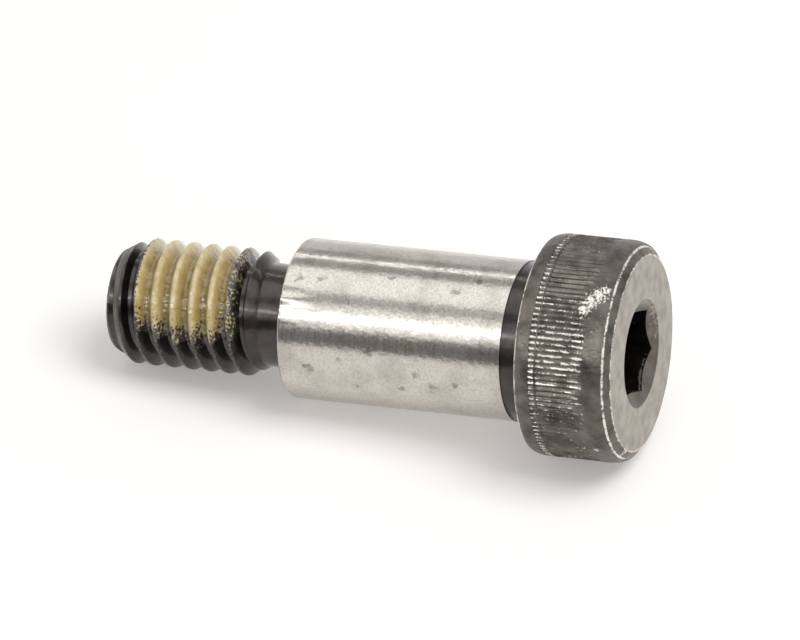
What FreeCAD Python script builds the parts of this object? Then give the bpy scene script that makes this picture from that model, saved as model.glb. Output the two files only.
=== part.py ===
import FreeCAD, Part
import os
import re
import Sketcher

from FreeCAD import Vector

# Shoulder bolt with a 5/8 inch shoulder, 1 inch long, and a 1/2-13 thread. Sizes in millimetres.
# The bolt stands on its head: the flat face of the head is at z = 0 and the thread points up.
# The lower edge of the locking patch faces -Y, and the patch reaches round to +X.

# Driving dimensions: alias, value, meaning
DRIVING = [
    ("head_height", 9.525, "head, face to bearing side"),
    ("knurl_radius", 10.85, "head over the knurl"),
    ("rim_drop", 0.47, "how much smaller the bearing side's rim is, on the radius"),
    ("rim_slope", 1.475, "height of the slope beside the bearing side"),
    ("face_drop", 0.51, "how much smaller the bevel's outer edge is, on the radius"),
    ("face_slope", 1.5, "height of the gentle slope beyond the bevel"),
    ("face_bevel_width", 0.74, "width of the bevel round the face"),
    ("face_bevel_height", 0.62, "height of that bevel"),
    ("knurl_count", 120, "teeth round the head"),
    ("knurl_depth", 0.24, "depth of the knurl grooves"),
    ("knurl_land", 0.08, "width left at the top of each tooth"),
    ("knurl_margin", 0.38, "plain ring between that slope and the long teeth"),
    ("knurl_gap", 0.12, "plain ring between the long and the short teeth"),
    ("short_tooth_length", 0.72, "length of the short teeth"),
    ("socket_flats", 7.9375, "hexagon socket across flats"),
    ("socket_depth", 6.1, "depth of the hexagon"),
    ("socket_angle", 24.6, "turn of the hexagon about the axis, degrees"),
    ("socket_mouth_width", 0.77, "countersunk mouth beyond the hexagon's corners, on the radius"),
    ("socket_mouth_angle", 60, "slope of the mouth from the axis, degrees"),
    ("socket_drill_clearance", 0.09, "drilled bottom inside the flats, on the radius"),
    ("socket_point_angle", 59, "slope of the drilled point from the axis, degrees"),
    ("shoulder_radius", 7.9, "ground shoulder"),
    ("shoulder_length", 25.4, "bearing side of the head to the end of the shoulder"),
    ("shoulder_bevel", 0.25, "broken edge at the end of the shoulder"),
    ("head_neck_step", 0.25, "undercut below the head, on the radius"),
    ("head_neck_width", 2.36, "width of that undercut"),
    ("thread_radius", 6.24, "crest of the thread"),
    ("thread_pitch", 1.9538, "13 turns to the inch"),
    ("thread_flank_angle", 30, "each flank from square to the axis, degrees"),
    ("thread_length", 18.83, "end of the shoulder to the tip"),
    ("thread_neck_width", 3.0, "undercut between shoulder and thread"),
    ("thread_neck_bevel", 0.5, "corner between that undercut and the shoulder's end"),
    ("thread_run_out", 1.5, "height of the slope from the undercut to the crest"),
    ("tip_drop", 1.24, "how much smaller the flat end is than the crest, on the radius"),
    ("tip_bevel_angle", 30, "slope of the end's bevel from the axis, degrees"),
    ("crest_place", 15.925, "shoulder's end to a crest on the +X side, which sets the thread's turn"),
    ("patch_crest", 0.12, "thickness of the locking patch on the crests"),
    ("patch_root", 0.3, "thickness of the patch in the roots"),
    ("patch_start_angle", -104, "lower edge of the patch from +X, degrees"),
    ("patch_sweep", 152, "stretch of the patch round the thread, degrees"),
    ("patch_turns", 5, "turns of the thread that the patch covers, from crest to crest"),
    ("overcut", 0.2, "how far a cutting outline reaches past the surface that it cuts"),
]

# Sizes that follow from the driving dimensions: alias, formula
DERIVED = [
    ("rim_radius", "=knurl_radius - rim_drop"),
    ("face_bevel_radius", "=knurl_radius - face_drop"),
    ("face_radius", "=face_bevel_radius - face_bevel_width"),
    ("knurl_start", "=face_bevel_height + face_slope + knurl_margin"),
    ("knurl_end", "=head_height - rim_slope - short_tooth_length - knurl_gap"),
    ("knurl_half_width", "=pi * knurl_radius / knurl_count - knurl_land / 2"),
    ("socket_corner_radius", "=socket_flats / sqrt(3)"),
    ("socket_mouth_radius", "=socket_corner_radius + socket_mouth_width"),
    ("socket_drill_radius", "=socket_flats / 2 - socket_drill_clearance"),
    ("head_neck_radius", "=shoulder_radius - head_neck_step"),
    ("shoulder_end", "=head_height + shoulder_length"),
    ("thread_depth", "=thread_pitch * 7 / 12"),
    ("thread_root_radius", "=thread_radius - thread_depth"),
    ("root_half", "=thread_pitch * 0.09"),
    ("crest_half", "=root_half + thread_depth * tan(thread_flank_angle * 1deg)"),
    ("thread_neck_end", "=shoulder_end + thread_neck_width"),
    ("tip_height", "=shoulder_end + thread_length"),
    ("tip_radius", "=thread_radius - tip_drop"),
    ("tip_bevel_height", "=tip_drop / tan(tip_bevel_angle * 1deg)"),
    ("groove_start", "=shoulder_end + crest_place + 2.5 * thread_pitch"),
    ("groove_travel", "=groove_start - thread_neck_end + thread_pitch / 2"),
    ("patch_half", "=crest_half - (patch_root - patch_crest) * tan(thread_flank_angle * 1deg)"),
    ("patch_top", "=shoulder_end + crest_place + thread_pitch * patch_start_angle / 360"),
]

FULL_NAMES = {row[0]: "sizes." + row[0] for row in DRIVING + DERIVED}


def fill_sheet(doc):
    """Put the driving and the derived sizes into the spreadsheet."""
    sheet = doc.addObject("Spreadsheet::Sheet", "sizes")
    rows = [(alias, str(value)) for alias, value, meaning in DRIVING] + DERIVED
    for number, (alias, content) in enumerate(rows, start=1):
        cell = "A%d" % number
        sheet.set(cell, content)
        sheet.setAlias(cell, alias)
    doc.recompute()
    return sheet


def sized(expression):
    """Replace each alias in an expression by its full name in the spreadsheet."""
    return re.sub("[a-z_]+", lambda found: FULL_NAMES.get(found[0], found[0]), expression)


def value_of(sheet, formula):
    """Work out an expression as a plain number."""
    result = sheet.evalExpression(formula)
    return float(getattr(result, "Value", result))


def origin_item(body, role):
    """Find one of a body's own origin planes or axes."""
    return [item for item in body.Origin.OriginFeatures if item.Role == role][0]


def draw_outline(body, sheet, name, role, corners):
    """Sketch a closed outline whose corners are pairs of expressions, each bound to the sheet."""
    sketch = body.newObject("Sketcher::SketchObject", name)
    sketch.AttachmentSupport = [(origin_item(body, role), "")]
    sketch.MapMode = "FlatFace"
    formulas = [(sized(across), sized(up)) for across, up in corners]
    places = [Vector(value_of(sheet, across), value_of(sheet, up), 0) for across, up in formulas]
    for start, end in zip(places, places[1:] + places[:1]):
        sketch.addGeometry(Part.LineSegment(start, end), False)
    for side, (formula, place) in enumerate(zip(formulas, places)):
        following = (side + 1) % len(corners)
        sketch.addConstraint(Sketcher.Constraint("Coincident", side, 2, following, 1))
        across = sketch.addConstraint(Sketcher.Constraint("DistanceX", -1, 1, side, 1, place.x))
        sketch.setExpression("Constraints[%d]" % across, formula[0])
        up = sketch.addConstraint(Sketcher.Constraint("DistanceY", -1, 1, side, 1, place.y))
        sketch.setExpression("Constraints[%d]" % up, formula[1])
    return sketch


def revolve(body, outline, kind, name):
    """Turn an outline about its upright axis, to add or to cut."""
    turned = body.newObject(kind, name)
    turned.Profile = outline
    turned.ReferenceAxis = (outline, ["V_Axis"])
    turned.Angle = 360
    return turned


def wind(body, outline, kind, name, travel, downwards):
    """Run an outline along a right-hand helix about its upright axis."""
    wound = body.newObject(kind, name)
    wound.Profile = outline
    wound.ReferenceAxis = (outline, ["V_Axis"])
    wound.Mode = "pitch-height-angle"
    wound.setExpression("Pitch", sized("thread_pitch"))
    wound.setExpression("Height", sized(travel))
    wound.LeftHanded = False
    wound.Reversed = downwards
    return wound


def check_cut(doc, body, before, name):
    """Stop if a cut has taken nothing away, and give the volume that is left."""
    doc.recompute()
    after = body.Shape.Volume
    print("%-16s volume %.1f mm3" % (name, after))
    if not after < before:
        raise RuntimeError("%s cuts nothing" % name)
    return after


def turn_blank(doc, sheet, body):
    """The blank as it leaves the lathe: head, undercuts, shoulder and thread stock."""
    corners = [
        ("0", "0"),
        ("face_radius", "0"),
        ("face_bevel_radius", "face_bevel_height"),
        ("knurl_radius", "face_bevel_height + face_slope"),
        ("knurl_radius", "head_height - rim_slope"),
        ("rim_radius", "head_height"),
        ("head_neck_radius", "head_height"),
        ("head_neck_radius", "head_height + head_neck_width"),
        ("shoulder_radius", "head_height + head_neck_width"),
        ("shoulder_radius", "shoulder_end - shoulder_bevel"),
        ("shoulder_radius - shoulder_bevel", "shoulder_end"),
        ("thread_root_radius + thread_neck_bevel", "shoulder_end"),
        ("thread_root_radius", "shoulder_end + thread_neck_bevel"),
        ("thread_root_radius", "thread_neck_end"),
        ("thread_radius", "thread_neck_end + thread_run_out"),
        ("thread_radius", "tip_height - tip_bevel_height"),
        ("tip_radius", "tip_height"),
        ("0", "tip_height"),
    ]
    outline = draw_outline(body, sheet, "blank_outline", "XZ_Plane", corners)
    revolve(body, outline, "PartDesign::Revolution", "turned_blank")
    doc.recompute()
    return body.Shape.Volume


def cut_socket(doc, sheet, body, volume):
    """Countersunk mouth, drilled bottom and the hexagon."""
    corners = [
        ("0", "-overcut"),
        ("socket_mouth_radius + overcut * tan(socket_mouth_angle * 1deg)", "-overcut"),
        ("socket_drill_radius",
         "(socket_mouth_radius - socket_drill_radius) / tan(socket_mouth_angle * 1deg)"),
        ("socket_drill_radius", "socket_depth"),
        ("0", "socket_depth + socket_drill_radius / tan(socket_point_angle * 1deg)"),
    ]
    outline = draw_outline(body, sheet, "socket_outline", "XZ_Plane", corners)
    revolve(body, outline, "PartDesign::Groove", "socket_drilling")
    volume = check_cut(doc, body, volume, "socket_drilling")
    turns = ["(socket_angle + %d) * 1deg" % (60 * corner) for corner in range(6)]
    hexagon = [("socket_corner_radius * cos(%s)" % turn, "socket_corner_radius * sin(%s)" % turn)
               for turn in turns]
    outline = draw_outline(body, sheet, "hexagon_outline", "XY_Plane", hexagon)
    broached = body.newObject("PartDesign::Pocket", "hexagon")
    broached.Profile = outline
    broached.Reversed = True
    broached.setExpression("Length", sized("socket_depth"))
    return check_cut(doc, body, volume, "hexagon")


def cut_thread(doc, sheet, body, volume):
    """Right-hand thread groove, run from beyond the tip down into the undercut."""
    outer_half = "(crest_half + overcut * tan(thread_flank_angle * 1deg))"
    corners = [
        ("thread_root_radius", "groove_start - root_half"),
        ("thread_radius + overcut", "groove_start - " + outer_half),
        ("thread_radius + overcut", "groove_start + " + outer_half),
        ("thread_root_radius", "groove_start + root_half"),
    ]
    outline = draw_outline(body, sheet, "thread_outline", "XZ_Plane", corners)
    wind(body, outline, "PartDesign::SubtractiveHelix", "thread", "groove_travel", True)
    return check_cut(doc, body, volume, "thread")


def cut_tooth_gap(sheet, body, name, low, length):
    """One V groove of the knurl, from the height low over the given length."""
    corners = [
        ("knurl_radius - knurl_depth", "0"),
        ("knurl_radius", "-knurl_half_width"),
        ("knurl_radius + overcut", "-knurl_half_width"),
        ("knurl_radius + overcut", "knurl_half_width"),
        ("knurl_radius", "knurl_half_width"),
    ]
    outline = draw_outline(body, sheet, name + "_outline", "XY_Plane", corners)
    outline.setExpression("AttachmentOffset.Base.z", sized(low))
    gap = body.newObject("PartDesign::Pocket", name)
    gap.Profile = outline
    gap.Reversed = True
    gap.setExpression("Length", sized(length))
    return gap


def cut_knurl(doc, sheet, body, volume):
    """Long teeth round the head and a ring of short teeth beside them."""
    long_gap = cut_tooth_gap(sheet, body, "long_tooth_gap", "knurl_start", "knurl_end - knurl_start")
    volume = check_cut(doc, body, volume, "long_tooth_gap")
    short_gap = cut_tooth_gap(sheet, body, "short_tooth_gap", "knurl_end + knurl_gap",
                              "short_tooth_length")
    volume = check_cut(doc, body, volume, "short_tooth_gap")
    knurl = body.newObject("PartDesign::PolarPattern", "knurl")
    knurl.Originals = [long_gap, short_gap]
    knurl.Axis = (origin_item(body, "Z_Axis"), [""])
    knurl.Angle = 360
    knurl.setExpression("Occurrences", sized("knurl_count"))
    body.Tip = knurl
    return check_cut(doc, body, volume, "knurl")


def build_bolt(doc, sheet):
    """The bolt, one piece of steel."""
    body = doc.addObject("PartDesign::Body", "bolt")
    body.Label = "bolt"
    volume = turn_blank(doc, sheet, body)
    volume = cut_socket(doc, sheet, body, volume)
    volume = cut_thread(doc, sheet, body, volume)
    cut_knurl(doc, sheet, body, volume)
    return body


def thread_side(turns, root_skin, crest_skin, half):
    """Corners along the thread from the lowest crest to the highest, a skin's thickness off it."""
    root = "thread_root_radius + " + root_skin
    crest = "thread_radius + " + crest_skin
    corners = [(crest, "patch_top - %d * thread_pitch" % turns)]
    for turn in range(turns, 0, -1):
        middle = "patch_top - %.1f * thread_pitch" % (turn - 0.5)
        corners.append((crest, "%s - %s" % (middle, half)))
        corners.append((root, "%s - root_half" % middle))
        corners.append((root, "%s + root_half" % middle))
        corners.append((crest, "%s + %s" % (middle, half)))
    corners.append((crest, "patch_top"))
    return corners


def build_patch(doc, sheet):
    """The locking patch, a thin skin that follows one side of the thread."""
    body = doc.addObject("PartDesign::Body", "locking_patch")
    body.Label = "locking_patch"
    turns = int(sheet.patch_turns)
    inner = thread_side(turns, "0", "0", "crest_half")
    outer = thread_side(turns, "patch_root", "patch_crest", "patch_half")
    outline = draw_outline(body, sheet, "patch_outline", "XZ_Plane", inner + outer[::-1])
    outline.AttachmentOffset = FreeCAD.Placement(Vector(), FreeCAD.Rotation(Vector(0, 1, 0), 1))
    outline.setExpression("AttachmentOffset.Rotation.Angle", sized("patch_start_angle"))
    travel = "thread_pitch * patch_sweep / 360"
    wind(body, outline, "PartDesign::AdditiveHelix", "patch_skin", travel, False)
    doc.recompute()
    return body


def check_document(doc):
    """Stop at any object that failed to build."""
    for item in doc.Objects:
        if "Invalid" in item.State or "Error" in item.State:
            raise RuntimeError("%s is not valid: %s" % (item.Label, item.State))


def export(piece):
    """Write one closed solid to its own file."""
    shape = piece.Shape
    if shape.isNull() or not shape.isValid() or len(shape.Solids) != 1:
        raise RuntimeError("%s is not one valid solid (%d)" % (piece.Label, len(shape.Solids)))
    shape.Solids[0].exportStep("parts/%s.step" % piece.Label)
    print("%-16s volume %.1f mm3" % (piece.Label, shape.Volume))


doc = FreeCAD.newDocument("shoulder_bolt")
sheet = fill_sheet(doc)
pieces = [build_bolt(doc, sheet), build_patch(doc, sheet)]
check_document(doc)
os.makedirs("parts", exist_ok=True)
for piece in pieces:
    export(piece)
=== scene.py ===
# %% [markdown]
# # Dressing a shoulder bolt
# A shoulder bolt is a pin and a screw in one. A wheel or a lever turns on its ground shoulder,
# the knurled head keeps that part from sliding off, and the thread holds the bolt in a plate.
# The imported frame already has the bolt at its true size, head down and thread up. This script
# replaces its two pieces by finer ones, gives them their finishes and sets up the photograph.

# %% Load the frame
import math
import random

import bmesh
import bpy
from mathutils import Matrix, Vector, noise


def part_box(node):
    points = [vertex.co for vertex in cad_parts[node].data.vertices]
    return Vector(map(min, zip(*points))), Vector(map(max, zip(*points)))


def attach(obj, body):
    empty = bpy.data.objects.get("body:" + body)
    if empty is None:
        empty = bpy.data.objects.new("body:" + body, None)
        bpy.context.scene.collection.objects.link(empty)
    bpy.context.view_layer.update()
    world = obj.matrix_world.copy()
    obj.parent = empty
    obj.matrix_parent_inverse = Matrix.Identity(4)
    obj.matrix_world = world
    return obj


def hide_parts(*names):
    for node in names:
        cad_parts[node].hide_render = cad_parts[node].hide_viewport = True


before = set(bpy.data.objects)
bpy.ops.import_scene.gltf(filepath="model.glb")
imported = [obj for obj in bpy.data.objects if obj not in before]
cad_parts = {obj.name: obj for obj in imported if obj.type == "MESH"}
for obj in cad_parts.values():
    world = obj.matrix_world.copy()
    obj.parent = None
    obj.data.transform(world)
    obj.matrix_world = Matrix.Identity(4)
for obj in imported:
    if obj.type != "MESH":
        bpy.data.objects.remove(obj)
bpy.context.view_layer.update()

# %% [markdown]
# ## Sizes
# Meshes are made in millimetres, the unit in which the bolt would be drawn, and are scaled
# to metres when they are finished. The head's radius and the bolt's length come from the frame.
# The rest are the real bolt's own sizes: a 5/8 inch shoulder, 1 inch long, with a 1/2-13 thread.

# %% Sizes of the bolt, in millimetres
MM = 0.001
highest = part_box("bolt")[1]
knurl_radius = highest[0] / MM
tip_height = highest[2] / MM
head_height = 9.525
shoulder_radius = 7.9
shoulder_end = head_height + 25.4
thread_radius = 6.24
thread_pitch = 25.4 / 13
thread_root = 5.1
thread_low = shoulder_end + 3.0
tip_radius = 5.0
columns = 480
print("head %.2f mm across, %.2f mm long" % (2 * knurl_radius, tip_height))

# %% [markdown]
# ## A lathe for outlines
# Everything but the knurl, the hexagon and the thread was turned on a lathe, so an outline spun
# about the Z axis gives it. Real edges are never sharp: each is rounded a little and catches a
# line of light. Where the black finish has rubbed off an edge, its rows carry a wear value that
# the materials read later, with plain rows on both sides so that the wear stays narrow.


# %% Rows that round a corner
def toward(start, end, distance):
    """The point a distance from start on the way to end, at most halfway."""
    step = Vector(end) - Vector(start)
    return Vector(start) + step * min(distance / max(step.length, 1e-9), 0.45)


def corner_rows(before, corner, after, rounding, wear_and_highlight):
    """Rows of (radius, height, wear) round one corner of an outline."""
    if rounding == 0:
        return [(corner[0], corner[1], wear_and_highlight)]
    rows = []
    if wear_and_highlight:
        rows.append((*toward(corner, before, rounding + 0.1), 0))
    start = toward(corner, before, rounding)
    end = toward(corner, after, rounding)
    middle = (start + end) / 4 + Vector(corner) / 2
    rows += [(*start, wear_and_highlight), (*middle, wear_and_highlight), (*end, wear_and_highlight)]
    if wear_and_highlight:
        rows.append((*toward(corner, after, rounding + 0.1), 0))
    return rows


def outline_rows(corners):
    """Rows of a whole outline of (radius, height, rounding, wear)."""
    rows = []
    for number, (radius, height, rounding, wear_and_highlight) in enumerate(corners):
        before = corners[max(number - 1, 0)][:2]
        after = corners[min(number + 1, len(corners) - 1)][:2]
        rows += corner_rows(before, (radius, height), after, rounding, wear_and_highlight)
    return rows


print("a rounded corner takes %d rows, a worn one %d" % tuple(
    len(corner_rows((0, 0), (1, 0), (1, 1), 0.1, wear_and_highlight)) for wear_and_highlight in (0, 1)))

# %% [markdown]
# The lathe itself is one spin of a line of vertices. Three values ride on each vertex: how worn
# it is, together with painted highlights added later, whether the knurl cuts there, and where it
# stands on the hexagon's wall. The spin copies them to every column, so the knurl and the hexagon
# can be pressed in afterwards.

# %% The lathe
def new_blank():
    """An empty mesh whose vertices can carry wear with painted highlights, knurl and hexagon
    values.
    """
    blank = bmesh.new()
    for name in ("wear_and_highlight", "knurl", "hexagon"):
        blank.verts.layers.float.new(name)
    return blank


def draw_line(blank, rows, knurl=0.0, hexagon=0.0):
    """Draw rows of (radius, height, wear) as a line in the XZ plane."""
    layers = blank.verts.layers.float
    line = []
    for radius, height, wear_and_highlight in rows:
        point = blank.verts.new((radius, 0, height))
        point[layers["wear_and_highlight"]] = wear_and_highlight
        point[layers["knurl"]] = knurl
        point[layers["hexagon"]] = hexagon
        line.append(point)
    for start, end in zip(line, line[1:]):
        blank.edges.new((start, end))
    return line


def spin_line(blank, rise=0.0, start=0.0, turn=math.tau, steps=columns):
    """Spin the drawn line about Z; with a rise it becomes a screw."""
    bmesh.ops.rotate(blank, verts=blank.verts, matrix=Matrix.Rotation(start, 3, "Z"))
    bmesh.ops.spin(
        blank, geom=blank.verts[:] + blank.edges[:], cent=(0, 0, 0), axis=(0, 0, 1),
        dvec=(0, 0, rise / steps), angle=turn, steps=steps,
        use_merge=(rise == 0 and turn == math.tau))


print("the lathe turns %.2f degrees from column to column" % (360 / columns))

# %% [markdown]
# ## Sizes of the head
# A hexagon socket with a countersunk mouth, a bevel round the face, two rings of knurl on the
# side, and an undercut between head and shoulder, so that the two meet without a corner in the
# way of the part that turns on the bolt. The sizes were read from the photograph or belong to
# the standard bolt. Heights count from the face.

# %% Sizes of the head, in millimetres
socket_flats = 7.9375
socket_depth = 6.1
socket_turn = math.radians(24.75)
mouth_radius = 5.35
mouth_slope = math.tan(math.radians(60))
face_radius = 9.6
bevel_radius, bevel_height = 10.34, 0.62
knurl_start, knurl_end = 2.5, 7.23
short_start, short_end = 7.35, 8.05
rim_radius = 10.38
neck_radius, neck_end = 7.65, 11.885
chamfer = 0.25
print("head %.2f mm high, its knurl starts %.1f mm from the face" % (head_height, knurl_start))

# %% [markdown]
# ## Outline from the socket to the thread
# The line runs from the drilled point inside the socket, up the hexagon's wall, over the face,
# down the knurled side, under the head, along the shoulder and into the undercut before the
# thread. The two soft roundings of the head are parts of ellipses. The hexagon's rows are drawn
# at one radius, because pressing moves them to their wall later.


# %% Outline of the head and the shoulder
def quarter(centre, across, up, first, last, steps, wear_and_highlight=0):
    """Rows on part of an ellipse, angles in degrees."""
    rows = []
    for step in range(steps + 1):
        angle = math.radians(first + (last - first) * step / steps)
        rows.append((centre[0] + across * math.cos(angle),
                     centre[1] + up * math.sin(angle), wear_and_highlight))
    return rows


def rings(radius, start, end, count, wear_and_highlight=0):
    """Rows along a cylinder."""
    return [(radius, start + (end - start) * step / (count - 1), wear_and_highlight) for step in range(count)]


def draw_head(blank):
    """The line from the socket's drilled point to the undercut before the thread."""
    drill = socket_flats / 2 - 0.09
    line = draw_line(blank, [(0, socket_depth + drill / math.tan(math.radians(59)), 0),
                             (drill / 2, socket_depth + drill / 3.33, 0),
                             (drill, socket_depth, 0)])
    for share, wear_and_highlight in ((1, 0), (0.75, 0), (0.5, 0), (0.25, 0), (0.08, 0), (0.045, 1), (0.001, 0)):
        line += draw_line(blank, [(4.2, share, wear_and_highlight)], hexagon=1 + share)
    line += draw_line(blank, outline_rows([
        (5.0, 0.2, 0, 0), (mouth_radius, 0, 0.12, 0), (7.0, 0, 0, 0), (8.6, 0, 0, 0),
        (face_radius, 0, 0.05, 0.75), (bevel_radius, bevel_height, 0.08, 0.95),
        (10.55, 0.9, 0, 0)])[:-1])
    slope = quarter((bevel_radius, 2.12), knurl_radius - bevel_radius, 1.5, -70, 0, 6)
    line += draw_line(blank, slope + [(knurl_radius, knurl_start, 0)])
    for start, end, count, wear_and_highlight in ((knurl_start, knurl_end, 9, 0.4),
                                    (short_start, short_end - 0.08, 3, 0.95)):
        teeth = rings(knurl_radius, start + 0.07, end - 0.07, count, wear_and_highlight)
        line += draw_line(blank, teeth, knurl=1.0)
        line += draw_line(blank, [(knurl_radius, end, 0), (knurl_radius, end + 0.1, 0)])
    rim_shape = ((rim_radius, short_end), knurl_radius - rim_radius, 1.475)
    rim = quarter(*rim_shape, 6, 58, 5) + quarter(*rim_shape, 66, 84, 2, wear_and_highlight=0.95)
    line += draw_line(blank, rim + outline_rows([
        rim[-1][:2] + (0, 0), (rim_radius, head_height, 0.03, 0.9),
        (9.0, head_height, 0, 0), (neck_radius, head_height, 0.2, 0), (neck_radius, 10.6, 0, 0),
        (neck_radius, neck_end, 0.05, 0), (shoulder_radius, neck_end, 0.06, 0.8)])[1:])
    line += draw_line(blank, rings(shoulder_radius, 12.4, 34.4, 12))
    line += draw_line(blank, outline_rows([
        (shoulder_radius, 34.45, 0, 0), (shoulder_radius, shoulder_end - chamfer, 0.06, 0.5),
        (shoulder_radius - chamfer, shoulder_end, 0.06, 0.5), (6.2, shoulder_end, 0, 0),
        (thread_root, shoulder_end, 0.5, 0), (thread_root, thread_low, 0, 0)]))
    return line


def join_line(blank, line):
    """Join the stretches that were drawn one after the other into one line."""
    for start, end in zip(line, line[1:]):
        if not any(end in edge.verts for edge in start.link_edges):
            blank.edges.new((start, end))


# %% Spin the blank
blank = new_blank()
join_line(blank, draw_head(blank))
spin_line(blank)
print("blank: %d vertices" % len(blank.verts))

# %% [markdown]
# ## Rubbed edges
# The bright lines along the head's edges swell and fade, because no edge rubs off evenly. A slow
# noise and a quick one along the edge do it.


# %% Vary the wear along the edges
def rub_edges(blank):
    """Vary the wear along the head's edges."""
    layers = blank.verts.layers.float
    for vertex in blank.verts:
        on_head = vertex.co.z < head_height + 0.1
        if on_head and vertex[layers["wear_and_highlight"]] and not vertex[layers["knurl"]]:
            along = noise.noise(Vector((vertex.co.x * 0.5, vertex.co.y * 0.5, 2)))
            along += 0.6 * noise.noise(Vector((vertex.co.x * 2, vertex.co.y * 2, 5)))
            vertex[layers["wear_and_highlight"]] *= min(max(0.66 + 0.9 * along, 0.42), 1.3)


rub_edges(blank)
most_worn = max(vertex[blank.verts.layers.float["wear_and_highlight"]] for vertex in blank.verts)
print("strongest wear %.2f" % most_worn)

# %% [markdown]
# ## Pressing in the knurl
# A knurling wheel presses V grooves into the head: 120 of them round the rim, so each tooth gets
# four of the 480 columns. No two teeth come out alike, and each gets its own height and shine.
# Towards the face the teeth fade out, crushed and uneven. On the side that faces the camera the
# teeth are brighter still: a painted highlight, added to their wear.

# %% Knurl
knurl_count = 120
knurl_depth = 0.16
groove_share = (1.0, 0.45, 0.0, 0.45)
wear_share = (0.0, 0.25, 1.0, 0.25)
tooth_columns = len(groove_share)
crest_column = groove_share.index(0.0)
picker = random.Random(7)
tooth_shine = [picker.uniform(0.15, 1.0) for tooth in range(knurl_count)]
tooth_height = [picker.uniform(-0.02, 0.0) for tooth in range(knurl_count)]


def set_radius(point, radius):
    """Move a point straight outwards or inwards."""
    reach = math.hypot(point.x, point.y)
    point.x *= radius / reach
    point.y *= radius / reach


def worn_and_highlighted(column):
    """Wear of the teeth at a column, with a painted highlight that peaks at -95 degrees, on the
    camera's side.
    """
    turn = (column / columns * 360 + 95 + 180) % 360 - 180
    return 0.5 + 1.9 * math.exp(-(turn / 26) ** 2)


def press_knurl(blank):
    """Push the knurl's grooves into the rows that carry a knurl value."""
    layers = blank.verts.layers.float
    for vertex in blank.verts:
        if not vertex[layers["knurl"]]:
            continue
        column = round(math.atan2(vertex.co.y, vertex.co.x) / math.tau * columns) % columns
        tooth, part = divmod(column, tooth_columns)
        uneven = noise.noise(Vector((vertex.co.x * 2, vertex.co.y * 2, vertex.co.z * 1.3)))
        crushed = (vertex.co.z - knurl_start) / 0.9 + 1.2 * uneven
        cut = groove_share[part] * knurl_depth * (1 + 0.3 * uneven) * min(max(crushed, 0.2), 1)
        if part == crest_column:
            cut -= tooth_height[tooth]
        set_radius(vertex.co, knurl_radius - cut)
        blotch = noise.noise(Vector((vertex.co.x * 3, vertex.co.y * 3, vertex.co.z * 2.4)))
        # The peak on the camera's side, from the function above, is a painted highlight on the
        # teeth.
        if vertex.co.z < knurl_end:
            shine = (0.32 + 0.45 * tooth_shine[tooth] + 1.6 * blotch) * worn_and_highlighted(column)
        else:
            shine = (0.5 + 0.35 * tooth_shine[tooth]) * (0.75 + 0.25 * worn_and_highlighted(column))
        vertex[layers["wear_and_highlight"]] *= max(shine, 0.05) * wear_share[part]


press_knurl(blank)
print("knurl: %d teeth, %.2f mm deep" % (knurl_count, knurl_depth))

# %% [markdown]
# ## Pushing the hexagon
# A broach pushes the hexagon into the drilled hole. Its wall stands where the hexagon's formula
# says, and its upper edge rises and falls where the flats meet the countersunk mouth. On one side
# that edge carries a painted highlight, and the mouth is painted paler towards the picture's upper
# edge.

# %% Hexagon
edge_highlight_from, edge_highlight_to = 1.6, 2.9


def press_hexagon(blank):
    """Move the wall's rows on to the hexagon."""
    layers = blank.verts.layers.float
    for vertex in blank.verts:
        place = vertex[layers["hexagon"]]
        if not place:
            continue
        turn = math.atan2(vertex.co.y, vertex.co.x) - socket_turn
        radius = socket_flats / 2 / math.cos(turn % (math.pi / 3) - math.pi / 6)
        edge = (mouth_radius - radius) / mouth_slope
        set_radius(vertex.co, radius)
        vertex.co.z = edge + (socket_depth - edge) * (place - 1)
        # Only this range of angles keeps the bright edge, a painted highlight on one side of the
        # hexagon.
        if not edge_highlight_from < math.atan2(vertex.co.y, vertex.co.x) < edge_highlight_to:
            vertex[layers["wear_and_highlight"]] = 0.0


def paint_mouth_highlight(blank):
    """Paint the upper half of the socket's mouth paler, a painted highlight towards the picture's
    upper edge.
    """
    layers = blank.verts.layers.float
    for vertex in blank.verts:
        radius = math.hypot(vertex.co.x, vertex.co.y)
        in_mouth = vertex.co.z < 0.5 and radius < mouth_radius + 0.01
        if in_mouth and not vertex[layers["hexagon"]]:
            vertex[layers["wear_and_highlight"]] = max(0.6 * vertex.co.x / radius, 0.0)


press_hexagon(blank)
paint_mouth_highlight(blank)
print("hexagon: %.2f mm across flats, %.1f mm deep" % (socket_flats, socket_depth))

# %% [markdown]
# ## Winding the thread
# A thread is a tooth form carried round a helix. Spun with a rise of one pitch a turn, a line
# with a few teeth meets itself a tooth further on, and the crests stay clean edges all the way.
# What runs past the tip or below the undercut is pushed flat on to those ends and merged away.
# The undercut's slope and the tip's bevel then trim the crests.

# %% One tooth of the thread, as (height, radius) from a crest's middle
crest_half, root_half = 0.144, 0.176
flank = thread_pitch / 2 - crest_half - root_half
crest_edge = thread_radius - 0.02
tooth_form = [(0, thread_radius)]
tooth_form += [(crest_half + flank * share, crest_edge - (crest_edge - thread_root) * share)
               for share in (0, 1 / 3, 2 / 3, 1)]
tooth_form += [(thread_pitch / 2, thread_root)]
tooth_form += [(thread_pitch - height, radius) for height, radius in tooth_form[4:0:-1]]
first_crest = shoulder_end + 15.925
run_out = 1.5
bevel_slope = math.tan(math.radians(30))
tip_bevel = (thread_radius - tip_radius) / bevel_slope
crest_wear = 0.22
print("a crest %.2f mm wide, a root %.2f mm wide" % (2 * crest_half, 2 * root_half))


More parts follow.
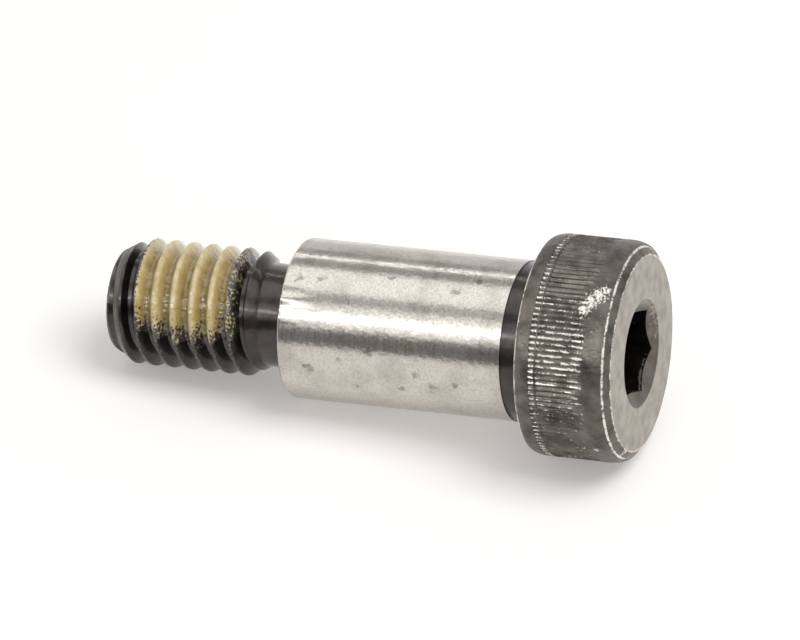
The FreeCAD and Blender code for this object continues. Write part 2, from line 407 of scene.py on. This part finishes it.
def thread_line(blank, lowest_turn, highest_turn, shift=0.0):
    """Draw the tooth form once for each turn, counted from the first crest."""
    rows = []
    for turn in range(lowest_turn, highest_turn + 1):
        for height, radius in tooth_form:
            wear_and_highlight = crest_wear if radius > thread_radius - 0.1 else 0.0
            rows.append((radius, first_crest + turn * thread_pitch + height + shift, wear_and_highlight))
    return draw_line(blank, rows)


def trim_radius(radius, height):
    """The thread's radius once the run-out and the tip's bevel have trimmed it."""
    rise = thread_root + (height - thread_low) / run_out * (thread_radius - thread_root)
    bevel = thread_radius - (height - (tip_height - tip_bevel)) * bevel_slope
    return min(radius, max(rise, thread_root), bevel)


# %% Wind, trim and merge the thread
screw = new_blank()
thread_line(screw, lowest_turn=-8, highest_turn=2)
spin_line(screw, rise=thread_pitch)
for vertex in screw.verts:
    radius = math.hypot(vertex.co.x, vertex.co.y)
    if vertex.co.z <= thread_low:
        radius = thread_root
    vertex.co.z = min(max(vertex.co.z, thread_low), tip_height)
    trimmed = trim_radius(radius, vertex.co.z)
    if trimmed < thread_radius - 0.3:
        vertex[screw.verts.layers.float["wear_and_highlight"]] = 0.0
    set_radius(vertex.co, trimmed)
bmesh.ops.remove_doubles(screw, verts=screw.verts, dist=0.002)
cap = draw_line(screw, outline_rows([
    (tip_radius, tip_height, 0, 0), (4.2, tip_height, 0, 0), (2.4, tip_height, 0, 0),
    (1.0, tip_height, 0, 0), (0, tip_height, 0, 0)]))
cap_edges = [edge for edge in screw.edges if edge.verts[0] in cap and edge.verts[1] in cap]
bmesh.ops.spin(screw, geom=cap + cap_edges, cent=(0, 0, 0), axis=(0, 0, 1), dvec=(0, 0, 0),
               angle=math.tau, steps=columns, use_merge=True)
print("thread: %d vertices" % len(screw.verts))

# %% [markdown]
# ## One piece of steel
# Head and thread are joined where the undercut ends, and vertices that fall together are
# merged. What is left at the axis closes the drilled point and the tip. Faces are smooth, and
# an edge is marked sharp where its two faces meet at more than 26 degrees, as on teeth and crests.


# %% Join, close and shade the bolt
def join_meshes(target, other):
    """Add another mesh to the target, with its values."""
    carrier = bpy.data.meshes.new("carrier")
    other.to_mesh(carrier)
    other.free()
    target.from_mesh(carrier)
    bpy.data.meshes.remove(carrier)


def shade(piece, degrees):
    """Smooth faces, with sharp edges where two faces meet at more than an angle."""
    limit = math.radians(degrees)
    for face in piece.faces:
        face.smooth = True
    for edge in piece.edges:
        edge.smooth = edge.calc_face_angle(0.0) < limit


join_meshes(blank, screw)
bmesh.ops.remove_doubles(blank, verts=blank.verts, dist=0.003)
bmesh.ops.dissolve_degenerate(blank, edges=blank.edges, dist=0.0005)
bmesh.ops.recalc_face_normals(blank, faces=blank.faces)
shade(blank, 26)
open_edges = sum(1 for edge in blank.edges if not edge.is_manifold)
print("bolt: %d faces, %d open edges" % (len(blank.faces), open_edges))

# %% [markdown]
# ## Marks of use
# The photographed bolt isn't new. The shoulder's end has three raised burrs, the head's rounding
# is crushed in one place beside the face, and there are nicks in its bevel, its rounding and the
# last crest. Each is a small push of the vertices near one spot, given by its height and its
# angle round the bolt. The crushed place is four pushes in a row.


# %% Burrs and dents
def spot(height, degrees, radius):
    """A place on the bolt's surface."""
    angle = math.radians(degrees)
    return Vector((radius * math.cos(angle), radius * math.sin(angle), height))


def push(piece, place, reach, distance, wear_and_highlight):
    """Push the vertices near a place outwards, or inwards where the distance is negative."""
    layer = piece.verts.layers.float["wear_and_highlight"]
    for vertex in piece.verts:
        share = 1 - (vertex.co - place).length / reach
        if share > 0:
            radius = math.hypot(vertex.co.x, vertex.co.y)
            set_radius(vertex.co, radius + distance * share * share * (3 - 2 * share))
            vertex[layer] = max(vertex[layer], wear_and_highlight * share)


dent_radius = 10.65
# The crushed place's four pushes carry wear 0.75: rubbed metal, and partly a painted highlight on
# the dent.
pushes = [  # height, angle, radius, reach, rise, wear
    (34.4, -76, shoulder_radius, 0.8, 0.2, 0.0), (34.75, -66, shoulder_radius, 0.5, 0.08, 0.0),
    (34.75, -90, shoulder_radius, 0.7, 0.07, 0.0), (1.3, -57, dent_radius, 0.9, -0.05, 0.75),
    (1.9, -60, dent_radius, 1.3, -0.05, 0.75), (2.5, -64, dent_radius, 1.3, -0.05, 0.75),
    (2.9, -69, dent_radius, 1.1, -0.05, 0.75), (0.3, -169, 9.9, 0.7, -0.09, 0.8),
    (2.0, -152, knurl_radius, 0.45, -0.04, 1.0), (50.2, -152, thread_radius, 0.5, -0.05, 0.6)]
for height, degrees, radius, reach, rise, wear_and_highlight in pushes:
    push(blank, spot(height, degrees, radius), reach, rise, wear_and_highlight)
print("%d pushes, the highest burr is %.2f mm" % (len(pushes), max(mark[4] for mark in pushes)))

# %% [markdown]
# ## Finishes by place
# The bolt is one piece of steel with several finishes: black oxide on the head and the thread,
# a paler face, a darker grey in the socket's mouth that is painted shade, the same grey on the tip
# bevel, a dark socket, and bare ground metal on the shoulder.
# Each face of the mesh takes the finish of its place, found from its middle.

# %% Sort the faces by finish
GROUND, HEAD, FACE, MOUTH, SOCKET, THREAD = range(6)
grey_tip = 1.35


def finish_of(middle):
    """The finish of a face from the place of its middle."""
    radius = math.hypot(middle.x, middle.y)
    if middle.z > shoulder_end + 0.01:
        bevelled = radius > trim_radius(math.inf, middle.z) - 0.04
        return MOUTH if middle.z > tip_height - grey_tip and bevelled else THREAD
    if middle.z > neck_end - 0.025:
        return GROUND
    if middle.z > head_height + 0.02:
        return THREAD
    if radius < mouth_radius + 0.02 and middle.z > (mouth_radius - radius) / mouth_slope + 0.03:
        return SOCKET
    if radius < mouth_radius - 0.02 and middle.z < 1.0:
        return MOUTH
    if radius < face_radius + 0.01 and middle.z < 1.0:
        return FACE
    return HEAD


for face in blank.faces:
    face.material_index = finish_of(face.calc_center_median())
counts = [sum(face.material_index == place for face in blank.faces) for place in range(6)]
print("faces of ground steel, head, face, mouth, socket and thread:", counts)

# %% [markdown]
# The mesh becomes an object in metres that rides on the root and stands for the frame's bolt,
# which is hidden. The patch will be finished by the same function.


# %% Make the piece
def finished_piece(name, piece, node):
    """Scale a mesh to metres and make it the piece that stands for a node."""
    bmesh.ops.scale(piece, vec=(MM, MM, MM), verts=piece.verts)
    mesh = bpy.data.meshes.new(name)
    piece.to_mesh(mesh)
    piece.free()
    made = bpy.data.objects.new(name, mesh)
    bpy.context.scene.collection.objects.link(made)
    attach(made, "root")
    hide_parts(node)
    return made


def triangles(piece):
    """How many triangles the faces of a piece make."""
    return sum(len(face.vertices) - 2 for face in piece.data.polygons)


bolt = finished_piece("steel_bolt", blank, "bolt")
print("steel_bolt: %d triangles" % triangles(bolt))

# %% [markdown]
# ## The locking patch
# Tan nylon is sprayed on to the hot thread, where it melts into a skin that fills the roots and
# thins over the crests. It is wound with the same tooth form as the thread, over part of a turn,
# and then lifted by its thickness. Towards its ragged edge it thins out and dives under the
# steel, so it looks melted on, not cut. Each vertex also keeps how far inside the edge it is,
# and how high it stands between root and crest, for the nylon's finish.

# %% Where the patch lies
patch_from, patch_to = -140, 50
high_edge = 46
skin_sunk, skin_shown = 0.06, -0.055
patch_top = first_crest
patch_foot = first_crest - 5 * thread_pitch
low_edge = [(39.2, -111), (40.5, -120), (43.5, -129), (46.0, -129), (47.5, -125), (48.7, -126),
            (50.4, -115), (52.0, -104)]


def low_edge_angle(height):
    """Angle of the patch's lower edge at a height."""
    for (start, first), (end, last) in zip(low_edge, low_edge[1:]):
        if height <= end:
            share = max((height - start) / (end - start), 0)
            return first + (last - first) * share
    return low_edge[-1][1]


def patch_cover(angle, height):
    """How far inside the patch a place is, in millimetres, with a ragged edge."""
    along = height - thread_pitch * angle / 360
    millimetres = math.radians(1) * thread_radius
    ragged = noise.noise(Vector((angle * 0.1, height * 0.9, 3))) * 0.9
    sides = ((angle - low_edge_angle(height)) * millimetres, (high_edge - angle) * millimetres,
             (patch_top - along) * 8 + 1.0, (along - patch_foot + 0.7) * 1.5)
    return min(sides) + ragged


def skin_thickness(angle, height, radius, inside):
    """Thickness of the nylon, thick in the roots and thin on the crests and near its edge."""
    depth = (thread_radius - radius) / (thread_radius - thread_root)
    full = 0.07 + 0.12 * depth
    full += 0.04 * noise.noise(Vector((angle * 0.3, height * 2, 1)))
    share = min(max((inside + 0.3) / 1.5, 0), 1)
    return -skin_sunk + (full + skin_sunk) * share ** 0.6


print("the skin is wound over %d degrees" % (patch_to - patch_from))

# %% Wind and lift the skin
skin = new_blank()
skin.verts.layers.float.new("cover")
patch_turn = patch_to - patch_from
thread_line(skin, lowest_turn=-6, highest_turn=0, shift=thread_pitch * patch_from / 360)
spin_line(skin, rise=thread_pitch * patch_turn / 360, start=math.radians(patch_from),
          turn=math.radians(patch_turn), steps=patch_turn * 2)
wear_and_highlight = skin.verts.layers.float["wear_and_highlight"]
cover = skin.verts.layers.float["cover"]
outside = []
for vertex in skin.verts:
    angle = math.degrees(math.atan2(vertex.co.y, vertex.co.x))
    radius = trim_radius(math.hypot(vertex.co.x, vertex.co.y), vertex.co.z)
    vertex[wear_and_highlight] = (radius - thread_root) / (thread_radius - thread_root)
    vertex[cover] = patch_cover(angle, vertex.co.z)
    thickness = skin_thickness(angle, vertex.co.z, radius, vertex[cover])
    set_radius(vertex.co, radius + thickness)
    if thickness < skin_shown:
        outside.append(vertex)
bmesh.ops.delete(skin, geom=outside, context="VERTS")
loose = [vertex for vertex in skin.verts if not vertex.link_faces]
bmesh.ops.delete(skin, geom=loose, context="VERTS")
bmesh.ops.recalc_face_normals(skin, faces=skin.faces)
middle_face = max(skin.faces, key=lambda face: face.calc_center_median().length)
if middle_face.normal.dot(middle_face.calc_center_median() * Vector((1, 1, 0))) < 0:
    bmesh.ops.reverse_faces(skin, faces=skin.faces)
print("skin: %d faces" % len(skin.faces))

# %% [markdown]
# The skin is closed by pushing a copy of it inwards and joining the two round the rim, all of it
# below the steel's surface.

# %% Close the skin
skin_depth = 0.36
inner = bmesh.ops.extrude_face_region(skin, geom=skin.faces[:], use_keep_orig=True)
for item in inner["geom"]:
    if isinstance(item, bmesh.types.BMVert):
        set_radius(item.co, math.hypot(item.co.x, item.co.y) - skin_depth)
bmesh.ops.recalc_face_normals(skin, faces=skin.faces)
shade(skin, 55)
patch = finished_piece("nylon_patch", skin, "locking_patch")
print("nylon_patch: %d triangles" % triangles(patch))

# %% [markdown]
# ## Tools for finishes
# A finish is a small network of nodes. Colours are written as they look on a screen and turned to
# linear light by one function. Another adds a node with its settings and its links. Five more
# shorten what every finish needs: a sum, a noise, a value moved to another range, a mixed colour
# and relief. Patterns and relief are given by their real size in millimetres.


# %% Colour and node
def paint(code):
    """Linear colour from a screen colour such as 8A7A50."""
    parts = [int(code[place:place + 2], 16) / 255 for place in (0, 2, 4)]
    linear = [part / 12.92 if part <= 0.04045 else ((part + 0.055) / 1.055) ** 2.4
              for part in parts]
    return (*linear, 1.0)


def grey(level):
    """A plain grey stop for a ramp that carries a number."""
    return (level, level, level, 1.0)


def fill(tree, node, inputs):
    """Give a node's inputs their numbers, their colours or other nodes' outputs."""
    for place, value in inputs.items():
        if isinstance(value, bpy.types.NodeSocket):
            tree.links.new(value, node.inputs[place])
        else:
            node.inputs[place].default_value = value


def add(tree, kind, inputs=None, stops=None, **settings):
    """Add a node with its settings, its inputs and the stops of its ramp."""
    made = tree.nodes.new("ShaderNode" + kind)
    for name, value in settings.items():
        setattr(made, name, value)
    fill(tree, made, inputs or {})
    for number, (position, colour) in enumerate(stops or []):
        elements = made.color_ramp.elements
        stop = elements[number] if number < 2 else elements.new(position)
        stop.position = position
        stop.color = colour
    return made


print("the screen's middle grey is %.3f of the light" % paint("808080")[0])


# %% Sum, noise, range, mix and relief
def reckon(tree, operation, *values):
    """A sum of numbers and other nodes' outputs."""
    return add(tree, "Math", dict(enumerate(values)), operation=operation).outputs[0]


def grain(size):
    """Scale of a noise whose grains are as large as a size in millimetres."""
    return 1 / (size * MM)


def grains(tree, coordinates, size, detail):
    """A noise with grains of a size in millimetres."""
    return add(tree, "TexNoise", {"Vector": coordinates, "Scale": grain(size),
                                  "Detail": detail}).outputs[0]


def mapped(tree, value, low, high, first=0.0, last=1.0):
    """A value that runs from low to high, made to run from first to last."""
    return add(tree, "MapRange", {"Value": value, "From Min": low, "From Max": high,
                                  "To Min": first, "To Max": last}).outputs[0]


def mixed(tree, share, first, second):
    """Two colours mixed by the share of the second."""
    return add(tree, "Mix", {0: share, 6: first, 7: second}, data_type="RGBA").outputs[2]


def raised(tree, height, strength, depth, below=None):
    """Relief of a depth in millimetres, on top of other relief if there is any."""
    inputs = {"Height": height, "Strength": strength, "Distance": depth * MM}
    if below is not None:
        inputs["Normal"] = below
    return add(tree, "Bump", inputs).outputs[0]


def start_finish(name):
    """A new material with its surface shader and its object coordinates."""
    material = bpy.data.materials.new(name)
    material.use_nodes = True
    tree = material.node_tree
    surface = tree.nodes["Principled BSDF"]
    coordinates = add(tree, "TexCoord").outputs["Object"]
    return material, tree, surface, coordinates


print("grains of 1 mm need a noise scale of %.0f" % grain(1))

# %% [markdown]
# ## Ground steel
# The shoulder was ground between centres, which leaves hair-fine rings round it and a bright,
# clear reflection that is drawn out along the axis. Handling has left dull stains, specks, a
# fine greyness and a few small dark pits, each at its own height and angle. The rings are drawn
# a quarter of a millimetre wide, as fine as the picture can show.

# %% Ground steel
pits = [(31.1, -58, 0.34), (31.6, -127, 0.45), (25.3, -109, 0.4), (33.35, -59, 0.3),
        (28.4, -118, 0.22), (20.5, -122, 0.3), (31.9, -124, 0.3), (24.0, -52, 0.3),
        (17.2, -58, 0.35), (15.2, -47, 0.3), (19.0, -131, 0.35), (22.2, -137, 0.3),
        (16.6, -128, 0.25), (26.8, -139, 0.25)]
ground_steel, tree, surface, coordinates = start_finish("ground_steel")
squeezed = add(tree, "Mapping", {"Vector": coordinates, "Scale": (60, 60, grain(0.25))}).outputs[0]
fine_rings = add(tree, "TexNoise", {"Vector": squeezed, "Scale": 1.0, "Detail": 3.0}).outputs[0]
stain = grains(tree, coordinates, 3.2, 7.0)
speck = grains(tree, coordinates, 0.5, 3.0)
grit = grains(tree, coordinates, 0.22, 3.0)
tone = paint("CDC9C2")
for pattern, low, high, most, colour in ((stain, 0.46, 0.68, 0.42, "938E88"),
                                         (speck, 0.64, 0.76, 0.4, "7E7973"),
                                         (grit, 0.4, 0.7, 0.35, "8F8A84")):
    ramp = add(tree, "ValToRGB", {"Fac": pattern}, [(low, grey(0)), (high, grey(most))])
    tone = mixed(tree, ramp.outputs[0], tone, paint(colour))
uneven = mapped(tree, speck, 0.3, 0.7, -0.35 * MM, 0.35 * MM)
for height, degrees, size in pits:
    place = spot(height, degrees, shoulder_radius) * MM
    away = add(tree, "VectorMath", {0: coordinates, 1: place}, operation="DISTANCE")
    away = reckon(tree, "ADD", away.outputs["Value"], uneven)
    pit = mapped(tree, away, size * 0.4 * MM, size * 1.6 * MM, 0.5, 0.0)
    tone = mixed(tree, pit, tone, paint("4A4642"))
relief = raised(tree, fine_rings, 0.1, 0.03)
relief = raised(tree, speck, 0.35, 0.05, below=relief)
fill(tree, surface, {"Base Color": tone, "Normal": relief, "Metallic": 1.0,
                     "Roughness": mapped(tree, fine_rings, 0.0, 1.0, 0.12, 0.28)})
print("ground steel: %d pits, %d nodes" % (len(pits), len(tree.nodes)))

# %% [markdown]
# ## Black oxide
# The rest of the bolt was blackened in a hot bath. The film is thin and follows the steel's own
# roughness, so it still shines like metal, only darker. On edges and tooth tips it has rubbed
# off. The wear value of the mesh, broken up by a fine noise, mixes bright steel back in; that
# value also holds the painted highlights on the knurl, the crushed place, the hexagon's edge and
# the mouth. The head, its face, the socket's mouth, the socket and the thread differ in how dark
# and how rough they are; the mouth's darker grey is painted shade in the countersink. The tip's
# bevel is as grey as the mouth. Socket and thread are still oily, so they have a thin coat.


# %% Black oxide in five shades
def oxide(name, dark, light, bright_metal, roughness, grit, depth):
    """Two dark tones, bright metal for wear and painted highlights, roughness, and relief by its
    grain and its depth.
    """
    material, tree, surface, coordinates = start_finish(name)
    cloud = grains(tree, coordinates, 1.6, 6.0)
    fine = grains(tree, coordinates, grit, 3.0)
    dents = grains(tree, coordinates, 0.9, 2.0)
    tone = mixed(tree, mapped(tree, cloud, 0.35, 0.65), paint(dark), paint(light))
    rubbed_and_highlighted = add(tree, "Attribute", attribute_name="wear_and_highlight").outputs["Fac"]
    broken = reckon(tree, "MULTIPLY_ADD", rubbed_and_highlighted, 0.6, fine)
    tone = mixed(tree, mapped(tree, broken, 0.68, 0.86), tone, paint(bright_metal))
    dull = mapped(tree, cloud, 0.0, 1.0, roughness - 0.08, roughness + 0.12)
    relief = raised(tree, fine, 0.35, depth)
    relief = raised(tree, dents, 0.4, 2.5 * depth, below=relief)
    fill(tree, surface, {"Base Color": tone, "Roughness": dull, "Metallic": 1.0,
                         "Normal": relief, "Coat Normal": relief})
    return material


head_oxide = oxide("black_oxide_head", "524E4A", "75706A", "E8E2DA", 0.36, 0.22, 0.09)
face_oxide = oxide("grey_oxide_face", "9A948D", "B8B2AA", "DDD7CF", 0.48, 0.3, 0.02)
# The mouth's darker grey is painted shade in the countersink; the tip's bevel uses the same grey.
mouth_shade_and_tip_oxide = oxide("shaded_mouth_and_grey_tip", "5B5752", "726D67", "989289", 0.42, 0.3, 0.01)
socket_oxide = oxide("black_oxide_socket", "2A2725", "3C3835", "C9C2BA", 0.4, 0.3, 0.03)
thread_oxide = oxide("black_oxide_thread", "282422", "3D3834", "8A847C", 0.3, 0.2, 0.015)
for material in (socket_oxide, thread_oxide):
    surface = material.node_tree.nodes["Principled BSDF"]
    fill(material.node_tree, surface, {"Coat Weight": 0.8, "Coat Roughness": 0.14})
for material in (ground_steel, head_oxide, face_oxide, mouth_shade_and_tip_oxide, socket_oxide, thread_oxide):
    bolt.data.materials.append(material)
print("finishes of the bolt:", [material.name for material in bolt.data.materials])

# %% [markdown]
# ## Nylon
# The patch is nylon powder melted on to the thread: tan, with a wet gloss, paler where it is
# thin over the crests and olive where it pools in the roots. Near its edge the black thread shows
# through in specks, more and more of them towards the edge. The wear value holds the height
# between root and crest here, and the cover value the distance from the edge in millimetres.

# %% Nylon patch
nylon, tree, surface, coordinates = start_finish("tan_nylon_patch")
height = add(tree, "Attribute", attribute_name="wear_and_highlight").outputs["Fac"]
inside = add(tree, "Attribute", attribute_name="cover").outputs["Fac"]
cloud = grains(tree, coordinates, 1.1, 4.0)
fine = grains(tree, coordinates, 0.3, 4.0)
ripple = grains(tree, coordinates, 0.75, 2.0)
uneven = reckon(tree, "MULTIPLY_ADD", cloud, 0.7, reckon(tree, "MULTIPLY", height, 0.5))
tone = add(tree, "ValToRGB", {"Fac": uneven}, [
    (0.22, paint("8A7546")), (0.45, paint("A9925A")), (0.7, paint("C2AC74")),
    (0.95, paint("E2D19E"))]).outputs[0]
limit = mapped(tree, inside, -0.3, 3.7, 0.27, 0.72)
bare = mapped(tree, reckon(tree, "SUBTRACT", fine, limit), -0.02, 0.09)
tone = mixed(tree, bare, tone, paint("1F1B17"))
relief = raised(tree, bare, 0.5, -0.06)
relief = raised(tree, ripple, 0.9, 0.2, below=relief)
wet = raised(tree, ripple, 0.35, 0.08)
fill(tree, surface, {"Base Color": tone, "Normal": relief, "Coat Normal": wet, "IOR": 1.53,
                     "Roughness": 0.28, "Coat Weight": 1.0, "Coat Roughness": 0.05})
patch.data.materials.append(nylon)
print("finish of the patch: %s, %d nodes" % (nylon.name, len(tree.nodes)))

# %% [markdown]
# ## The table
# In the photograph the bolt lies on a white table, on its knurled head and on the thread's
# crests. The frame keeps the bolt upright, so here the table stands up beside it: a plane along
# both, moved out to the bolt's outermost vertex. Its face is white and holds the shadow. A little
# glow, which only the camera and mirrors see, lifts it to full white. Its back lets everything
# through, so a view from that side still sees the bolt. Its front edge is a tenth of a metre
# from the bolt, out of the picture.

# %% Where the table stands
rest_degrees = 147.2
rest_angle = math.radians(rest_degrees)
head_contact = spot(short_end, rest_degrees, knurl_radius)
crest_contact = spot(tip_height - tip_bevel, rest_degrees, thread_radius)
along = (crest_contact - head_contact).normalized()
sideways = Vector((-math.sin(rest_angle), math.cos(rest_angle), 0))
table_normal = sideways.cross(along)
if table_normal.dot(head_contact) > 0:
    table_normal.negate()
across = table_normal.cross(along)
if across.y > 0:
    across.negate()
touch = min(table_normal.dot(vertex.co) for vertex in bolt.data.vertices)
print("table normal", [round(part, 4) for part in table_normal])
print("table touches the bolt %.2f mm from the axis" % (-touch / MM))


# %% Tools for the stage
def stage_finish(name):
    """A new material for the stage, with its tree and its output."""
    material = bpy.data.materials.new(name)
    material.use_nodes = True
    tree = material.node_tree
    tree.nodes.remove(tree.nodes["Principled BSDF"])
    return material, tree, tree.nodes["Material Output"]


def seen_directly(tree):
    """1 for the camera, in mirrors and through glass, 0 for light on matt surfaces."""
    rays = add(tree, "LightPath").outputs
    seen = reckon(tree, "MAXIMUM", rays["Is Camera Ray"], rays["Is Glossy Ray"])
    return reckon(tree, "MAXIMUM", seen, rays["Is Transmission Ray"])


def stage_piece(name, piece, material):
    """Make a mesh in metres a part of the stage."""
    mesh = bpy.data.meshes.new(name)
    piece.to_mesh(mesh)
    piece.free()
    mesh.materials.append(material)
    made = bpy.data.objects.new(name, mesh)
    bpy.context.scene.collection.objects.link(made)
    return made


# %% Table
white_table, tree, output = stage_finish("white_table")
matt = add(tree, "BsdfDiffuse", {"Color": (0.92, 0.905, 0.885, 1.0)}).outputs[0]
lift = mapped(tree, seen_directly(tree), 0.0, 1.0, 0.0, 0.29)
glow = add(tree, "Emission", {"Color": paint("FFFCF8"), "Strength": lift}).outputs[0]
front = add(tree, "AddShader", {0: matt, 1: glow}).outputs[0]
clear = add(tree, "BsdfTransparent").outputs[0]
behind = add(tree, "NewGeometry").outputs["Backfacing"]
sided = add(tree, "MixShader", {0: behind, 1: front, 2: clear}).outputs[0]
fill(tree, output, {"Surface": sided})
table_half, table_front = 0.5, 0.1
board = bmesh.new()
bmesh.ops.create_grid(board, x_segments=1, y_segments=1, size=table_half)
bmesh.ops.translate(board, vec=(0, table_front - table_half, 0), verts=board.verts)
facing = Matrix((along, across, table_normal)).transposed().to_4x4()
bmesh.ops.transform(board, matrix=Matrix.Translation(table_normal * touch) @ facing,
                    verts=board.verts)
stage_piece("table", board, white_table)
print("table: %.1f m wide, its front edge %.1f m from the bolt" % (2 * table_half, table_front))

# %% [markdown]
# ## The light
# Polished steel looks like whatever stands round it. The photograph's shoulder shows soft boxes
# with dark gaps between them as stripes along the axis, so the light is a tent of bright and
# grey strips round the bolt. Each is given by the angle where it starts and by its brightness.
# Angles count from the camera's side, towards the upper edge of the picture. Two narrow strips
# are bright tubes, which give the glints on nylon and thread. Only reflections meet the tent.
# The camera looks through it, and so does the light for matt surfaces.

# %% Light tent
strips = [(-180, 0.8), (-60, 0.18), (-10, 1.4), (5, 13.0), (7.5, 1.4), (24, 0.56), (40, 1.5),
          (79, 0.4), (95, 0.45), (99.6, 7.0), (101.4, 0.45), (118, 0.84)]
soft_edge = 0.7
tent_power = 14.0
tent_radius, tent_low, tent_high = 0.35, -0.5, 0.55
camera_side = -90


def strip_stops():
    """Ramp stops for the strips, with soft edges, from -180 to 180 degrees about the axis."""
    stops = []
    level = strips[0][1]
    for start, following in strips[1:]:
        angle = start + camera_side
        for place, value in ((angle - soft_edge, level), (angle + soft_edge, following)):
            part = value / tent_power
            stops.append(((place + 180) / 360, (part, part * 0.99, part * 0.972, 1.0)))
        level = following
    return stops


tent_cloth, tree, output = stage_finish("light_tent")
parts = add(tree, "SeparateXYZ", {0: add(tree, "TexCoord").outputs["Object"]}).outputs
round_axis = reckon(tree, "ARCTAN2", parts["Y"], parts["X"])
share = mapped(tree, round_axis, -math.pi, math.pi)
colour = add(tree, "ValToRGB", {"Fac": share}, strip_stops()).outputs[0]
lamp = add(tree, "Emission", {"Color": colour, "Strength": tent_power}).outputs[0]
fill(tree, output, {"Surface": lamp})
ring = bmesh.new()
foot = ring.verts.new((tent_radius, 0, tent_low))
head = ring.verts.new((tent_radius, 0, tent_high))
wall = ring.edges.new((foot, head))
bmesh.ops.spin(ring, geom=[foot, head, wall], cent=(0, 0, 0), axis=(0, 0, 1), dvec=(0, 0, 0),
               angle=math.tau, steps=72, use_merge=True)
tent = stage_piece("light_tent", ring, tent_cloth)
tent.visible_camera = False
tent.visible_diffuse = False
tent.visible_shadow = False
print("light tent: %d strips, %.1f m across" % (len(strips), 2 * tent_radius))

# %% [markdown]
# A matt surface is lit by the white room and by one soft box over the table, which draws the soft
# shadow under the bolt. It leans towards the head's side, so the shadow falls towards the tip,
# and a little towards the camera. Room, box and the table's own glow bring the table up to full
# white, and a colour renders about as it is written. The room is full white to the camera, in
# mirrors and through glass, and dimmer as a lamp.

# %% Room and soft box
world = bpy.data.worlds.new("white_room")
bpy.context.scene.world = world
world.use_nodes = True
tree = world.node_tree
level = mapped(tree, seen_directly(tree), 0.0, 1.0, 0.45, 1.0)
fill(tree, tree.nodes["Background"], {"Color": paint("FFFFFF"), "Strength": level})
box_side, box_distance, box_share = 0.6, 1.0, 0.51
box_lean, box_tilt = math.radians(28), math.radians(6)
box_direction = (table_normal * math.cos(box_lean) - along * math.sin(box_lean)
                 + across * math.sin(box_tilt)).normalized()
box_data = bpy.data.lights.new("soft_box", "AREA")
box_data.size = box_side
box_data.energy = box_share * math.pi * math.pi * box_distance ** 2
soft_box = bpy.data.objects.new("soft_box", box_data)
middle = Vector((0, 0, tip_height / 2 * MM))
soft_box.matrix_world = (Matrix.Translation(middle + box_direction * box_distance)
                         @ box_direction.to_track_quat("Z", "Y").to_matrix().to_4x4())
soft_box.visible_glossy = False
bpy.context.scene.collection.objects.link(soft_box)
print("soft box: %.1f m wide, %.1f W" % (box_side, box_data.energy))

# %% [markdown]
# ## The camera
# A pinhole camera was fitted to the bolt's outline in the photograph. The bolt's axis leans 19
# degrees towards the viewer and slopes 6 degrees down to the right. The lens is long and nearly
# 0.8 metres away, so there is little perspective. Working the camera out from those few angles
# keeps it independent of any picture file.

# %% Camera
lean = math.radians(19.07)
slope = math.radians(6.0)
distance = 792 * MM
aim_right, aim_up = 23.37 * MM, -3.211 * MM
picture_width = 800
focal_pixels = 8191.6
to_head = Vector((math.cos(lean) * math.cos(slope), -math.cos(lean) * math.sin(slope),
                  math.sin(lean)))
side = Vector((-to_head.z, 0, to_head.x)).normalized()
upwards = side.cross(to_head)
turned = Matrix((upwards, -side, -to_head))
place = turned @ Vector((-aim_right, -aim_up, distance))
camera_data = bpy.data.cameras.new("camera")
camera_data.sensor_width = 36
camera_data.sensor_fit = "HORIZONTAL"
camera_data.lens = focal_pixels * camera_data.sensor_width / picture_width
camera_data.clip_start = 0.01
camera = bpy.data.objects.new("camera", camera_data)
camera.matrix_world = Matrix.Translation(place) @ turned.to_4x4()
bpy.context.scene.collection.objects.link(camera)
bpy.context.scene.camera = camera
bpy.context.scene.view_settings.view_transform = "Standard"
print("camera at", [round(part, 4) for part in place], "lens %.1f mm" % camera_data.lens)

# %% [markdown]
# ## Finish
# The view layer is brought up to date.

# %% Finish
bpy.context.view_layer.update()
